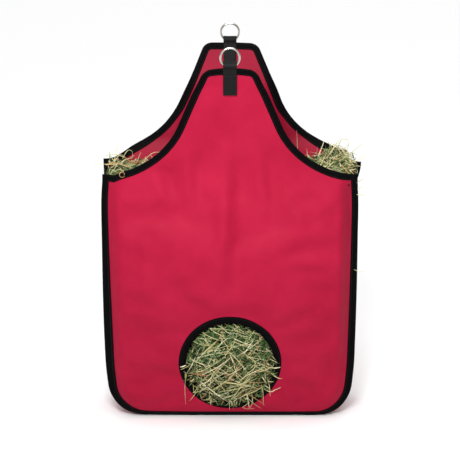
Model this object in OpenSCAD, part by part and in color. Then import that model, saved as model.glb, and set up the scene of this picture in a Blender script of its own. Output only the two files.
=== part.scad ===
// Hay bag: a gusseted cloth bag with taped seams, a round feed hole and two hanging rings.
// It stands on its lower seam edges. Z is up, the front faces -Y and X runs across the bag.
// The origin is on the ground, midway between the two panels.

/* [Bag body] */
// Width over the taped side edges
bag_w = 488; // [360:1:600]
// Height from the ground to the shoulders
bag_h = 496; // [360:1:600]
// Depth over the outer faces of the two panels
bag_d = 150; // [110:1:200]
// Radius of the two lower corners
corner_r = 68; // [30:1:90]

/* [Necks] */
// Height of a neck from the shoulders to its top edge, along the cloth
neck_h = 218; // [170:1:270]
// Width across the top of a neck, to where its sides would meet the top edge
neck_top_w = 97; // [80:1:120]
// Angle of a neck's straight side from upright
neck_flare = 22; // [15:0.5:25]
// Radius of a neck's two top corners
neck_corner_r = 20; // [14:1:24]
// Angle at which a neck leans outwards
neck_lean = 12; // [0:0.5:15]
// Angle from upright at which a neck, pushed inwards, stops
neck_in = 10; // [0:0.5:10]
// Height of the line about which a neck folds, above the shoulders
fold_rise = 12; // [10:0.5:20]

/* [Cloth, tape and thread] */
// Thickness of a cloth layer
cloth_t = 2; // [1:0.1:3]
// Thickness of the binding tape
tape_t = 1; // [0.5:0.1:1.4]
// Width of the folded tape on each side of an edge
bind_w = 12; // [8:0.5:13]
// Width of a row of stitches
thread_w = 0.8; // [0.4:0.1:1.2]
// Height of a row of stitches above what it is sewn to
thread_h = 0.35; // [0.2:0.05:0.5]
// Distance from a row of stitches to the edge of the tape or webbing it holds
stitch_in = 2.5; // [1.5:0.1:4]

/* [Feed hole] */
// Clear diameter inside the tape
hole_d = 174; // [100:1:190]
// Height of its centre above the ground
hole_z = 123; // [115:1:200]

/* [Ring tabs] */
// Width of the webbing
web_w = 25.4; // [19:0.1:30]
// Thickness of the webbing
web_t = 1.5; // [1:0.1:2]
// Length of webbing sewn down each face of a neck
ply_l = 52; // [35:1:70]
// Depth of webbing sewn together between the ring and the top of the neck
throat = 1; // [0.6:0.1:4]

/* [Rings] */
// Outer diameter of a ring
ring_od = 39; // [39:0.5:60]
// Diameter of its wire
wire_d = 4; // [2.5:0.1:4]

/* [Hay] */
// Height to which the hay rises in the middle, above the shoulders
crown_h = 24; // [10:1:60]
// Width of the hay's crown at the shoulders
crown_w = 300; // [200:1:320]
// Height of the tufts at the two sides, above the shoulders
tuft_h = 22; // [10:1:40]
// Distance by which the hay stands out of the feed hole
feed_bulge = 14; // [6:1:20]

/* [Clearances] */
// Gap between the hay and the cloth or tape around it
hay_gap = 1.5; // [1.4:0.1:4]
// Gap around the fold line of a neck
fold_gap = 0.35; // [0.3:0.05:1]
// Gap between a ring and the webbing it runs through
ring_gap = 0.3; // [0.2:0.05:0.6]
// How much steeper the hay's sides lean in than a neck that is pushed inwards
hay_slack = 4; // [2:0.5:8]

/* [Hidden] */
$fn = 96;
eps = 0.01;
// Steps along the arcs of an outline, and sides of the rounder solids
corner_steps = 12;
shoulder_steps = 18;
top_steps = 8;
heap_steps = 8;
bulge_sides = 240;
wire_sides = 32;
// Least half depth of the room for the hay
ridge_half = 1;
half_w = bag_w / 2;
half_d = bag_d / 2;

// A neck's outline: a straight side that runs tangent into a hollow shoulder curve.
neck_top_z = bag_h + neck_h;
shoulder_r = ((half_w - neck_top_w / 2) * cos(neck_flare) - neck_h * sin(neck_flare))
             / (1 - sin(neck_flare));
shoulder_c = [half_w, bag_h + shoulder_r];
top_c = [neck_top_w / 2 - neck_corner_r * (1 - sin(neck_flare)) / cos(neck_flare),
         neck_top_z - neck_corner_r];

// A neck folds about a line in the middle of the cloth.
fold_z = bag_h + fold_rise;
fold_y = half_d - cloth_t / 2;
taped_half = cloth_t / 2 + tape_t;
body_top = fold_z - taped_half - thread_h - fold_gap;
neck_l = neck_top_z - fold_z;

// The seam edge outside the gusset: panel, gusset edge and the tape folded round both.
wall_x = half_w - bind_w;
seam_t = 2 * cloth_t;
raw_top = bag_h - tape_t;

// A ring and the webbing tunnel that is just large enough for it.
ring_r = ring_od / 2;
ring_mid_r = ring_r - wire_d / 2;
ring_low = sqrt(pow(ring_r - wire_d, 2) - pow(web_w / 2, 2));
ring_rise = (ring_r + ring_low) / 2;
tunnel_r = (ring_r - ring_low) / 2 + ring_gap;
tunnel_z = neck_l + throat + tunnel_r;
ply_in = taped_half;
ply_out = taped_half + web_t;

// The hay fills the bag up to the shoulders and narrows above them.
hay_half_d = half_d - cloth_t - hay_gap;
hay_inset = bind_w + cloth_t + hay_gap;
hay_lean = neck_in + hay_slack;
hay_foot_z = body_top - taped_half;
hole_r = hole_d / 2;
hay_hole_r = hole_r - hay_gap;
bulge_r = (pow(hay_hole_r, 2) + pow(feed_bulge, 2)) / (2 * feed_bulge);

// ---- outlines, drawn with X across and Y for height ----

function arc(c, r, a, b, n) = [for (i = [0:n]) c + r * [cos(a + (b - a) * i / n), sin(a + (b - a) * i / n)]];
function both_sides(right) =
    concat(right, [for (i = [len(right) - 1:-1:0]) [-right[i].x, right[i].y]]);
function lower_corner(d) = arc([half_w - corner_r, corner_r], corner_r - d, -90, 0, corner_steps);

// A whole panel and its neck, with its edge moved in by d
function panel_edge(d) = both_sides(concat(
    lower_corner(d),
    arc(shoulder_c, shoulder_r + d, 270 - asin(d / (shoulder_r + d)), 180 + neck_flare, shoulder_steps),
    arc(top_c, neck_corner_r - d, neck_flare, 90, top_steps)
));

// The bag's body only, open-sided at the height top, with its edge moved in by d
function body_edge(d, top) = both_sides(concat(lower_corner(d), [[half_w - d, top]]));

module panel_2d(d) polygon(panel_edge(d));

module panel_strip(near, far) difference() {
    panel_2d(near);
    panel_2d(far);
}

module stitch_line_2d() panel_strip(bind_w - stitch_in - thread_w, bind_w - stitch_in);

// Everything below the height z
module below_2d(z) translate([-bag_w, -bag_h]) square([2 * bag_w, bag_h + z]);

// Everything above the height z
module above_2d(z) translate([-bag_w, z]) square([2 * bag_w, bag_h]);

// The shoulders and necks, up to x on each side of the middle
module shoulder_2d(x) translate([-x, bag_h - 2 * bind_w]) square([2 * x, neck_h + 2 * bind_w]);

// ---- solids from outlines ----

// An outline as a plate that lies between y0 and y1
module plate(y0, y1) translate([0, y1, 0]) rotate([90, 0, 0]) linear_extrude(y1 - y0) children();

module at_rear() mirror([0, 1, 0]) children();

// A front neck's own frame: the fold line is its X axis and the cloth rises along Z
module at_neck() translate([0, -fold_y, fold_z]) rotate([neck_lean, 0, 0]) children();

module neck_2d() translate([0, -fold_z]) intersection() {
    children();
    above_2d(fold_z);
}

// ---- body ----

// One panel up to the fold line, with its outer face at y = -half_d
module body_panel() plate(-half_d, -half_d + cloth_t) intersection() {
    panel_2d(tape_t);
    below_2d(body_top);
}

module front_panel() color("#C62847") difference() {
    body_panel();
    translate([0, -half_d - eps, hole_z]) rotate([-90, 0, 0])
        cylinder(r = hole_r + tape_t, h = cloth_t + 2 * eps);
}

module rear_panel() color("#A80830") at_rear() body_panel();

// The strip that joins the panels round both sides and the bottom, with its edges turned out
module gusset() color("#B8183A") {
    plate(-half_d + cloth_t, half_d - cloth_t) difference() {
        polygon(body_edge(bind_w, raw_top));
        polygon(body_edge(bind_w + cloth_t, raw_top + cloth_t));
    }
    turned_edge();
    at_rear() turned_edge();
}

module turned_edge() plate(-half_d + cloth_t, -half_d + seam_t) difference() {
    polygon(body_edge(tape_t, raw_top));
    polygon(body_edge(bind_w + cloth_t / 2, raw_top + cloth_t));
}

// Tape folded round the seam edge, and round the panel alone above the gusset
module seam_binding() {
    plate(-half_d - tape_t, -half_d) taped_2d() panel_strip(0, bind_w);
    plate(-half_d, -half_d + cloth_t) taped_2d() panel_strip(0, tape_t);
    plate(-half_d + cloth_t, -half_d + seam_t) seam_side_2d() panel_strip(0, tape_t);
    plate(-half_d + seam_t, -half_d + seam_t + tape_t) seam_side_2d() panel_strip(0, bind_w);
    plate(-half_d + cloth_t, -half_d + cloth_t + tape_t) taped_2d() intersection() {
        panel_strip(0, bind_w);
        shoulder_2d(wall_x - cloth_t - tape_t - fold_gap);
    }
}

module taped_2d() intersection() {
    children();
    below_2d(body_top);
}

module seam_side_2d() difference() {
    taped_2d() children();
    shoulder_2d(wall_x);
}

module front_seam_binding() color("#141616") seam_binding();

module rear_seam_binding() color("#141616") at_rear() seam_binding();

// Tape folded over the top edge of the gusset on the right
module mouth_binding() {
    len_y = bag_d - 2 * (seam_t + tape_t + thread_h);
    translate([wall_x - cloth_t - tape_t, -len_y / 2, bag_h - bind_w]) difference() {
        cube([cloth_t + 2 * tape_t, len_y, bind_w]);
        translate([tape_t, -eps, -eps]) cube([cloth_t, len_y + 2 * eps, bind_w - tape_t + eps]);
    }
}

module left_mouth_binding() color("#141616") mirror([1, 0, 0]) mouth_binding();

module right_mouth_binding() color("#141616") mouth_binding();

// A flat ring about the feed hole's axis, between y0 and y1 and between two radii
module hole_ring(y0, y1, inner_r, outer_r) translate([0, y0, hole_z]) rotate([-90, 0, 0]) difference() {
    cylinder(r = outer_r, h = y1 - y0);
    translate([0, 0, -eps]) cylinder(r = inner_r, h = y1 - y0 + 2 * eps);
}

module feed_hole_binding() color("#141616") {
    hole_ring(-half_d - tape_t, -half_d, hole_r, hole_r + bind_w);
    hole_ring(-half_d, -half_d + cloth_t, hole_r, hole_r + tape_t);
    hole_ring(-half_d + cloth_t, -half_d + cloth_t + tape_t, hole_r, hole_r + bind_w);
}

// ---- stitching on the body ----

// The stitches that hold a seam's tape: a row on its outer face and one behind the seam edge
module seam_stitching() {
    plate(-half_d - tape_t - thread_h, -half_d - tape_t) taped_2d() stitch_line_2d();
    plate(-half_d + seam_t + tape_t, -half_d + seam_t + tape_t + thread_h)
        seam_side_2d() stitch_line_2d();
}

module front_seam_stitching() color("#2A2C2C") seam_stitching();

module rear_seam_stitching() color("#2A2C2C") at_rear() seam_stitching();

module mouth_stitching() {
    len_y = bag_d - 2 * (seam_t + tape_t + thread_h);
    z = bag_h - bind_w + stitch_in;
    translate([wall_x + tape_t, -len_y / 2, z]) cube([thread_h, len_y, thread_w]);
    translate([wall_x - cloth_t - tape_t - thread_h, -len_y / 2, z]) cube([thread_h, len_y, thread_w]);
}

module left_mouth_stitching() color("#2A2C2C") mirror([1, 0, 0]) mouth_stitching();

module right_mouth_stitching() color("#2A2C2C") mouth_stitching();

module feed_hole_stitching() color("#2A2C2C") {
    inner_r = hole_r + bind_w - stitch_in;
    hole_ring(-half_d - tape_t - thread_h, -half_d - tape_t, inner_r, inner_r + thread_w);
    hole_ring(-half_d + cloth_t + tape_t, -half_d + cloth_t + tape_t + thread_h, inner_r, inner_r + thread_w);
}

// ---- hay ----

// The right half of a heap's rounded top, w wide, that rises h above the shoulders
function heap_edge(w, h) = [for (i = [heap_steps:-1:1])
    [w / 2 * sin(90 * i / heap_steps), bag_h + h * cos(90 * i / heap_steps)]];

// The room the hay may take, narrowing above the fold lines so that the necks can lean in
module hay_room() {
    top = bag_h + neck_h;
    lean_in = (top - hay_foot_z) * tan(hay_lean);
    rotate([90, 0, 90]) linear_extrude(bag_w, center = true) polygon([
        [-hay_half_d, 0], [hay_half_d, 0], [hay_half_d, hay_foot_z],
        [max(hay_half_d - lean_in, ridge_half), top], [-max(hay_half_d - lean_in, ridge_half), top],
        [-hay_half_d, hay_foot_z]
    ]);
}

module hay_load() color("#7A7B4E") intersection() {
    plate(-half_d, half_d) polygon(both_sides(concat(
        lower_corner(hay_inset), [[half_w - hay_inset, bag_h]], heap_edge(crown_w, crown_h)
    )));
    hay_room();
}

// The tuft that stands out over the gusset on the right
module hay_tuft() {
    outer_x = half_w - hay_inset;
    inner_x = crown_w / 2;
    intersection() {
        plate(-half_d, half_d) translate([(outer_x + inner_x) / 2, 0])
            polygon(both_sides(heap_edge(outer_x - inner_x, tuft_h)));
        hay_room();
    }
}

module left_hay_tuft() color("#8C9460") mirror([1, 0, 0]) hay_tuft();

module right_hay_tuft() color("#8C9460") hay_tuft();

// The hay that stands out of the feed hole
module feed_hole_hay() color("#8A8A58") {
    translate([0, -hay_half_d, hole_z]) rotate([90, 0, 0])
        cylinder(r = hay_hole_r, h = half_d - hay_half_d + tape_t, $fn = bulge_sides);
    translate([0, -half_d - tape_t, hole_z]) rotate([90, 0, 0]) intersection() {
        translate([0, 0, feed_bulge - bulge_r]) sphere(r = bulge_r, $fn = bulge_sides);
        cylinder(r = hay_hole_r, h = feed_bulge + eps, $fn = bulge_sides);
    }
}

// ---- necks ----

module neck_panel() at_neck() {
    plate(-cloth_t / 2, cloth_t / 2) neck_2d() panel_2d(tape_t);
    fold_roll();
}

// The rounded foot of the neck's cloth, on the fold line
module fold_roll() {
    reach = sqrt(pow(shoulder_r + tape_t, 2) - pow(shoulder_r - fold_rise, 2));
    roll_l = 2 * (half_w - reach);
    difference() {
        translate([-roll_l / 2, 0, 0]) rotate([0, 90, 0]) cylinder(d = cloth_t, h = roll_l);
        translate([-bag_w / 2, -cloth_t, 0]) cube([bag_w, 2 * cloth_t, cloth_t]);
    }
}

module neck_binding() at_neck() {
    plate(-taped_half, -cloth_t / 2) neck_2d() panel_strip(0, bind_w);
    plate(-cloth_t / 2, cloth_t / 2) neck_2d() panel_strip(0, tape_t);
    plate(cloth_t / 2, taped_half) neck_2d() panel_strip(0, bind_w);
}

// Rows on both faces of the tape, broken where the ring tab covers them
module neck_stitching() at_neck() for (face = [-1, 1])
    plate(face * taped_half - (face < 0 ? thread_h : 0), face * taped_half + (face > 0 ? thread_h : 0))
        difference() {
            neck_2d() stitch_line_2d();
            translate([-web_w / 2, neck_l - ply_l]) square([web_w, ply_l]);
        }

// Webbing seen from the side: a tunnel for the ring, a sewn throat and a ply down each face
module tab_2d() {
    difference() {
        union() {
            translate([0, tunnel_z]) circle(r = tunnel_r + web_t);
            polygon([
                [-ply_out, neck_l], [ply_out, neck_l],
                [tunnel_r + web_t, tunnel_z], [-tunnel_r - web_t, tunnel_z]
            ]);
        }
        translate([0, tunnel_z]) circle(r = tunnel_r);
        translate([-ply_in, neck_l - web_w]) square([2 * ply_in, web_w]);
    }
    for (side = [-1, 1])
        translate([side > 0 ? ply_in : -ply_out, neck_l - ply_l]) square([web_t, ply_l]);
}

module ring_tab() at_neck() rotate([90, 0, 90]) linear_extrude(web_w, center = true) tab_2d();

// A box of stitches on each ply, below the taped edge
module tab_stitching() at_neck() for (face = [-1, 1])
    plate(face * ply_out - (face < 0 ? thread_h : 0), face * ply_out + (face > 0 ? thread_h : 0))
        translate([0, neck_l - ply_l + stitch_in]) difference() {
            box_w = web_w - 2 * stitch_in;
            box_h = ply_l - bind_w;
            translate([-box_w / 2, 0]) square([box_w, box_h]);
            translate([-box_w / 2 + thread_w, thread_w])
                square([box_w - 2 * thread_w, box_h - 2 * thread_w]);
        }

module front_neck_panel() color("#C92C49") neck_panel();
module front_neck_binding() color("#141616") neck_binding();
module front_neck_stitching() color("#2A2C2C") neck_stitching();
module front_ring_tab() color("#211F20") ring_tab();
module front_tab_stitching() color("#343636") tab_stitching();

module rear_neck_panel() color("#B31D3A") at_rear() neck_panel();
module rear_neck_binding() color("#141616") at_rear() neck_binding();
module rear_neck_stitching() color("#2A2C2C") at_rear() neck_stitching();
module rear_ring_tab() color("#211F20") at_rear() ring_tab();
module rear_tab_stitching() color("#343636") at_rear() tab_stitching();

// ---- rings ----

// A ring stands upright in its tab, whichever way the neck leans
module upright_ring() translate([0, -fold_y, fold_z])
    translate([0, -tunnel_z * sin(neck_lean), tunnel_z * cos(neck_lean) + ring_rise])
        rotate([90, 0, 0]) rotate_extrude() translate([ring_mid_r, 0]) circle(d = wire_d, $fn = wire_sides);

module front_ring() color("#C9C9C6") upright_ring();
module rear_ring() color("#C9C9C6") at_rear() upright_ring();

front_panel();
rear_panel();
gusset();
front_seam_binding();
rear_seam_binding();
left_mouth_binding();
right_mouth_binding();
feed_hole_binding();
front_seam_stitching();
rear_seam_stitching();
left_mouth_stitching();
right_mouth_stitching();
feed_hole_stitching();
hay_load();
left_hay_tuft();
right_hay_tuft();
feed_hole_hay();
front_neck_panel();
front_neck_binding();
front_neck_stitching();
front_ring_tab();
front_tab_stitching();
rear_neck_panel();
rear_neck_binding();
rear_neck_stitching();
rear_ring_tab();
rear_tab_stitching();
front_ring();
rear_ring();
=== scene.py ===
"""Looks of a filled hay bag: Oxford cloth panels and gusset, taped seams, loose hay, webbing tabs and rings.

Lengths are in millimetres until a mesh is made, and then in metres. The front faces -Y and Z is up.
"""

import math

import bpy
import numpy as np
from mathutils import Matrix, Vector
from mathutils.geometry import delaunay_2d_cdt


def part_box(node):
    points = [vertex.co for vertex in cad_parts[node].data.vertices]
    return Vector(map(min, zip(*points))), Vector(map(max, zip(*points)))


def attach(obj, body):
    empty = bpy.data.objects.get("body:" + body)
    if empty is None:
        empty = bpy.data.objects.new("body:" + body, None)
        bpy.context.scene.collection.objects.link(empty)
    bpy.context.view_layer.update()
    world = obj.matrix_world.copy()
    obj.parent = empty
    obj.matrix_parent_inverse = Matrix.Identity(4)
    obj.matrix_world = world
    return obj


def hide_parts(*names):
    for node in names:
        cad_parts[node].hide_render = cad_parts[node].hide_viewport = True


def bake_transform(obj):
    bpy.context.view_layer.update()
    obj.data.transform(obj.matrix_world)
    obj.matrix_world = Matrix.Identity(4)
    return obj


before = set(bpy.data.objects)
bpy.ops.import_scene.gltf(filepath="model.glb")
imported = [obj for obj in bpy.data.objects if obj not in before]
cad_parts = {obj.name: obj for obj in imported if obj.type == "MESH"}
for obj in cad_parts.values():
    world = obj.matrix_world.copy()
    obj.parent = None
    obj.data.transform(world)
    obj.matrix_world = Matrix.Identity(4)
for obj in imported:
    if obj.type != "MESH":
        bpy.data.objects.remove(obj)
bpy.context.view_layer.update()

MM = 0.001


def node_box(name):
    """Lowest and highest corner of a CAD node, in millimetres."""
    low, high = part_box(name)
    return np.array(low) / MM, np.array(high) / MM


# ---- sizes: the frame gives the overall ones, the rest repeat the pattern pieces ----
HALF_W = node_box("front_seam_binding")[1][0]
HALF_D = node_box("rear_panel")[1][1]
SHOULDER_Z = 496
CORNER_R = 68
NECK_H = 218
NECK_TOP_W = 97
FLARE = math.radians(22)
NECK_CORNER_R = 20
LEAN = math.radians(12)
FOLD_Z = 508
FOLD_Y = HALF_D - 1
HOLE_Z = 123
HOLE_R = 87
SHOULDER_R = (
    (HALF_W - NECK_TOP_W / 2) * math.cos(FLARE) - NECK_H * math.sin(FLARE)) / (1 - math.sin(FLARE))
NECK_TOP_Z = SHOULDER_Z + NECK_H
TOP_CORNER_X = NECK_TOP_W / 2 - NECK_CORNER_R * (1 - math.sin(FLARE)) / math.cos(FLARE)
NECK_L = NECK_TOP_Z - FOLD_Z
WEB_W, PLY_L = 25.4, 52
SEAM_DEPTH = 1.5  # the cloth's edge lies this far inside the fold of its tape


# ---- camera, light and floor ----
def place(data, name, at, look_at):
    """Adds a camera or a light that looks at a point."""
    obj = bpy.data.objects.new(name, data)
    bpy.context.scene.collection.objects.link(obj)
    obj.location = at
    obj.rotation_euler = (Vector(look_at) - Vector(at)).to_track_quat("-Z", "Y").to_euler()
    return obj


def softbox(name, at, look_at, size, power, spread):
    """A round softbox with a grid that holds its light within an angle, in degrees."""
    data = bpy.data.lights.new(name, "AREA")
    data.shape, data.size, data.energy, data.spread = "DISK", size, power, math.radians(spread)
    return place(data, name, at, look_at)


VIEW_ELEVATION, VIEW_DISTANCE, VIEW_HEIGHT = math.radians(17.34), 3.652, 0.3644
camera = bpy.data.cameras.new("camera")
camera.lens, camera.sensor_width = 147.3, 36
bpy.context.scene.camera = place(
    camera, "camera",
    (0, -VIEW_DISTANCE * math.cos(VIEW_ELEVATION), VIEW_HEIGHT + VIEW_DISTANCE * math.sin(VIEW_ELEVATION)),
    (0, 0, VIEW_HEIGHT),
)
bpy.context.scene.view_settings.view_transform = "Standard"
softbox("key_light", (-0.15, -1.5, 1.4), (0, -0.08, 0.6), 0.6, 4.9, 60)
overhead = bpy.data.lights.new("overhead_panels", "SUN")
overhead.energy, overhead.angle = 2.1, math.radians(70)
place(overhead, "overhead_panels", (0, 0.1, 3), (0, 0, 0))


# ---- materials ----
def rgb(code):
    """A linear colour from an sRGB hex value."""
    parts = [int(code[i:i + 2], 16) / 255 for i in (1, 3, 5)]
    return tuple(c / 12.92 if c <= 0.04045 else ((c + 0.055) / 1.055) ** 2.4 for c in parts) + (1.0,)


def add(mat, kind, inputs=None, **settings):
    """Adds a node with its settings; an input is a value or the socket that feeds it."""
    made = mat.node_tree.nodes.new(kind)
    for key, value in settings.items():
        setattr(made, key, value)
    for key, value in (inputs or {}).items():
        if isinstance(value, bpy.types.NodeSocket):
            mat.node_tree.links.new(value, made.inputs[key])
        else:
            made.inputs[key].default_value = value
    return made


def new_material(name, **shader):
    """A material with the shader's uniform values set on its own sockets, and that shader."""
    mat = bpy.data.materials.new(name)
    mat.use_nodes = True
    bsdf = next(n for n in mat.node_tree.nodes if n.type == "BSDF_PRINCIPLED")
    for key, value in shader.items():
        bsdf.inputs[key.replace("_", " ")].default_value = value
    return mat, bsdf


def ramp(mat, factor, stops, interpolation="LINEAR"):
    """A colour ramp over (position, hex) stops."""
    made = add(mat, "ShaderNodeValToRGB", {"Fac": factor})
    made.color_ramp.interpolation = interpolation
    while len(made.color_ramp.elements) < len(stops):
        made.color_ramp.elements.new(1.0)
    for element, (position, code) in zip(made.color_ramp.elements, stops):
        element.position, element.color = position, rgb(code)
    return made.outputs["Color"]


def per_metre(period_mm):
    """Scale of a wave texture whose bands repeat at a period in millimetres."""
    return 2 * math.pi / 20 / (period_mm * MM)


def connect(mat, output, shader, name):
    mat.node_tree.links.new(output, shader.inputs[name])


def woven(mat, bsdf, pitch, colours, strength, relief):
    """A plain weave on the flat map: warp and weft bands that take turns to pass over each other."""
    flat = add(mat, "ShaderNodeUVMap", uv_map="flat").outputs["UV"]
    turns = add(mat, "ShaderNodeTexChecker", {"Vector": flat, "Scale": 1 / (pitch * MM)}).outputs["Fac"]
    bands = [
        add(mat, "ShaderNodeTexWave", {"Vector": flat, "Scale": per_metre(pitch), "Distortion": 0.4},
            bands_direction=way).outputs["Fac"]
        for way in ("X", "Y")
    ]
    cloth = add(mat, "ShaderNodeMix", {"Factor": turns, "A": bands[0], "B": bands[1]}).outputs["Result"]
    cloud = add(mat, "ShaderNodeTexNoise", {"Vector": flat, "Scale": 14, "Detail": 5, "Roughness": 0.6})
    tone = add(mat, "ShaderNodeMath", {0: cloth, 1: strength, 2: cloud.outputs["Fac"]},
               operation="MULTIPLY_ADD")
    connect(mat, ramp(mat, tone.outputs[0], colours), bsdf, "Base Color")
    bump = add(mat, "ShaderNodeBump", {"Height": cloth, "Strength": relief, "Distance": 0.3 * MM})
    connect(mat, bump.outputs["Normal"], bsdf, "Normal")


def ribbed(mat, bsdf, pitch, colours, relief, slant=0.0):
    """Ribs across a narrow tape, with a fine fibre noise along them."""
    flat = add(mat, "ShaderNodeUVMap", uv_map="flat").outputs["UV"]
    turned = add(mat, "ShaderNodeMapping", {"Vector": flat, "Rotation": (0, 0, slant)}).outputs["Vector"]
    ribs = add(mat, "ShaderNodeTexWave", {
        "Vector": turned, "Scale": per_metre(pitch), "Distortion": 0.6, "Detail Scale": 3}).outputs["Fac"]
    lint = add(mat, "ShaderNodeTexNoise", {"Vector": flat, "Scale": 220, "Detail": 4}).outputs["Fac"]
    tone = add(mat, "ShaderNodeMath", {0: ribs, 1: 0.35, 2: lint}, operation="MULTIPLY_ADD").outputs[0]
    connect(mat, ramp(mat, tone, colours), bsdf, "Base Color")
    bump = add(mat, "ShaderNodeBump", {"Height": ribs, "Strength": relief, "Distance": 0.25 * MM})
    connect(mat, bump.outputs["Normal"], bsdf, "Normal")


# Oxford polyester, basket woven from 0.6 mm yarn and coated behind. The eye sees an even crimson with a soft,
# dry sheen and hardly any gloss. The 0.6 mm threads are too fine to show, so they are drawn at 2.2 mm.
CLOTH_TONES = [(0.3, "#940F2D"), (0.62, "#9C1433"), (1.0, "#A61939")]
oxford_cloth, shader = new_material(
    "oxford_polyester_crimson", Roughness=0.6, Specular_IOR_Level=0.07, IOR=1.5)
woven(oxford_cloth, shader, 2.2, CLOTH_TONES, 0.22, 0.25)

# The inside of the same cloth, under its polyurethane coat: a duller crimson for the coat, made darker still as
# painted shade for the bag's shadowed inside.
coated_back_painted_shade, shader = new_material(
    "coated_oxford_back_painted_shade", Roughness=0.5, Specular_IOR_Level=0.08, IOR=1.5)
woven(coated_back_painted_shade, shader, 2.2, [(0.3, "#7E0824"), (0.62, "#870A28"), (1.0, "#910E2E")], 0.22, 0.15)

# Grosgrain tape of black polyester, ribbed every 1.2 mm and drawn at 2.4 mm. It is nearly matt, so that it
# shows as a deep black band with a faint grey crown.
grosgrain, shader = new_material(
    "grosgrain_tape_black", Roughness=0.6, Specular_IOR_Level=0.03, IOR=1.5)
ribbed(grosgrain, shader, 2.4, [(0.3, "#030203"), (0.7, "#060506"), (1.0, "#0C0B0C")], 0.5)

# Polypropylene webbing, woven in a slanting rib about 2 mm apart. It is a little greyer than the tape.
webbing, shader = new_material(
    "polypropylene_webbing_black", Roughness=0.55, Specular_IOR_Level=0.1, IOR=1.49)
ribbed(webbing, shader, 2.0, [(0.3, "#0B0A0A"), (0.7, "#121111"), (1.0, "#1B191A")], 0.7, math.radians(24))

# Bonded nylon sewing thread, 0.8 mm. Its wax gives each stitch one small highlight on the tape.
thread, shader = new_material("bonded_nylon_thread", Roughness=0.4, Specular_IOR_Level=0.15, IOR=1.53)
twist = add(thread, "ShaderNodeTexWave", {"Scale": per_metre(0.9), "Distortion": 1.0},
            bands_direction="DIAGONAL").outputs["Fac"]
connect(thread, ramp(thread, twist, [(0.0, "#0E0D0E"), (1.0, "#1C1B1C")]), shader, "Base Color")

# Welded steel wire, nickel plated. The eye sees a pale, slightly warm mirror, faintly clouded from handling.
nickel, shader = new_material("nickel_plated_steel", Metallic=1.0)
wear = add(nickel, "ShaderNodeTexNoise", {"Scale": 260, "Detail": 6, "Roughness": 0.65}).outputs["Fac"]
connect(nickel, ramp(nickel, wear, [(0.3, "#B9B6AE"), (0.7, "#DAD7D0")]), shader, "Base Color")
clouding = add(nickel, "ShaderNodeMapRange", {"Value": wear, "To Min": 0.14, "To Max": 0.34})
connect(nickel, clouding.outputs["Result"], shader, "Roughness")

# Dried grass hay: blades and stems cured at different rates, each with its own colour from dull green to straw.
HAY_TONES = [
    (0.00, "#1A2711"), (0.14, "#304A27"), (0.28, "#486436"), (0.41, "#617C4A"), (0.54, "#838852"),
    (0.64, "#A3A566"), (0.73, "#C4BF82"), (0.82, "#DDD69E"), (0.90, "#F4ECC4"), (0.95, "#C48F60"),
]


def hay_material(name, tones):
    mat, bsdf = new_material(name, Roughness=0.6, Specular_IOR_Level=0.25, IOR=1.45)
    own = add(mat, "ShaderNodeNewGeometry").outputs["Random Per Island"]
    tone = ramp(mat, own, tones, "CONSTANT")
    streak = add(mat, "ShaderNodeTexNoise", {"Scale": 130, "Detail": 3, "Roughness": 0.6}).outputs["Fac"]
    shade = ramp(mat, streak, [(0.3, "#8E8E80"), (0.6, "#FFFFFF")])
    mixed = add(mat, "ShaderNodeMix", {"Factor": 1.0, "A": tone, "B": shade},
                data_type="RGBA", blend_type="MULTIPLY")
    connect(mat, mixed.outputs["Result"], bsdf, "Base Color")
    return mat


hay_stalks = hay_material("dried_grass_hay", HAY_TONES)
hay_leaf = hay_material("dried_green_hay_leaf", [
    (0.0, "#24361A"), (0.14, "#38552C"), (0.3, "#4B7040"), (0.48, "#678A54"),
    (0.66, "#8CA46C"), (0.82, "#B7BC84"), (0.93, "#D8CF9C")])
hay_straw = hay_material("bleached_hay_stems", [
    (0.0, "#C9C893"), (0.3, "#DDD69C"), (0.65, "#F4EBC2"), (0.88, "#C99A68")])

# The hay's inside, seen only through gaps: broken leaf in deep shade.
hay_shade, shader = new_material("shaded_hay_chaff", Roughness=0.9, Specular_IOR_Level=0.05)
chaff = add(hay_shade, "ShaderNodeTexNoise", {"Scale": 300, "Detail": 6, "Roughness": 0.7}).outputs["Fac"]
connect(hay_shade, ramp(hay_shade, chaff, [(0.3, "#070804"), (0.6, "#12150A"), (0.85, "#2A2F18")]),
        shader, "Base Color")

# Matt studio paper, nearly white.
floor_paper, shader = new_material("matt_white_paper", Roughness=0.95, Specular_IOR_Level=0.1)
tooth = add(floor_paper, "ShaderNodeTexNoise", {"Scale": 3, "Detail": 2}).outputs["Fac"]
connect(floor_paper, ramp(floor_paper, tooth, [(0.0, "#F6F6F6"), (1.0, "#FAFAFA")]), shader, "Base Color")

world = bpy.data.worlds.new("soft_white_room")
bpy.context.scene.world = world
world.use_nodes = True
world.node_tree.nodes["Background"].inputs["Color"].default_value = rgb("#FFFFFF")
world.node_tree.nodes["Background"].inputs["Strength"].default_value = 0.38


# ---- meshes ----
def finish_mesh(name, mesh, mat, smooth=True):
    mesh.materials.append(mat)
    mesh.polygons.foreach_set("use_smooth", [smooth] * len(mesh.polygons))
    obj = bpy.data.objects.new(name, mesh)
    bpy.context.scene.collection.objects.link(obj)
    return obj


def mesh_of(name, points, faces, uv=None):
    """A mesh from points in millimetres; uv gives each point's place on the flat cloth, in millimetres."""
    mesh = bpy.data.meshes.new(name)
    mesh.from_pydata((np.asarray(points) * MM).tolist(), [], [list(map(int, f)) for f in faces])
    if uv is not None:
        layer = mesh.uv_layers.new(name="flat")
        at = np.zeros(len(mesh.loops), np.int32)
        mesh.loops.foreach_get("vertex_index", at)
        layer.uv.foreach_set("vector", (np.asarray(uv)[at] * MM).astype(np.float32).ravel())
    mesh.update()
    return mesh


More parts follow.
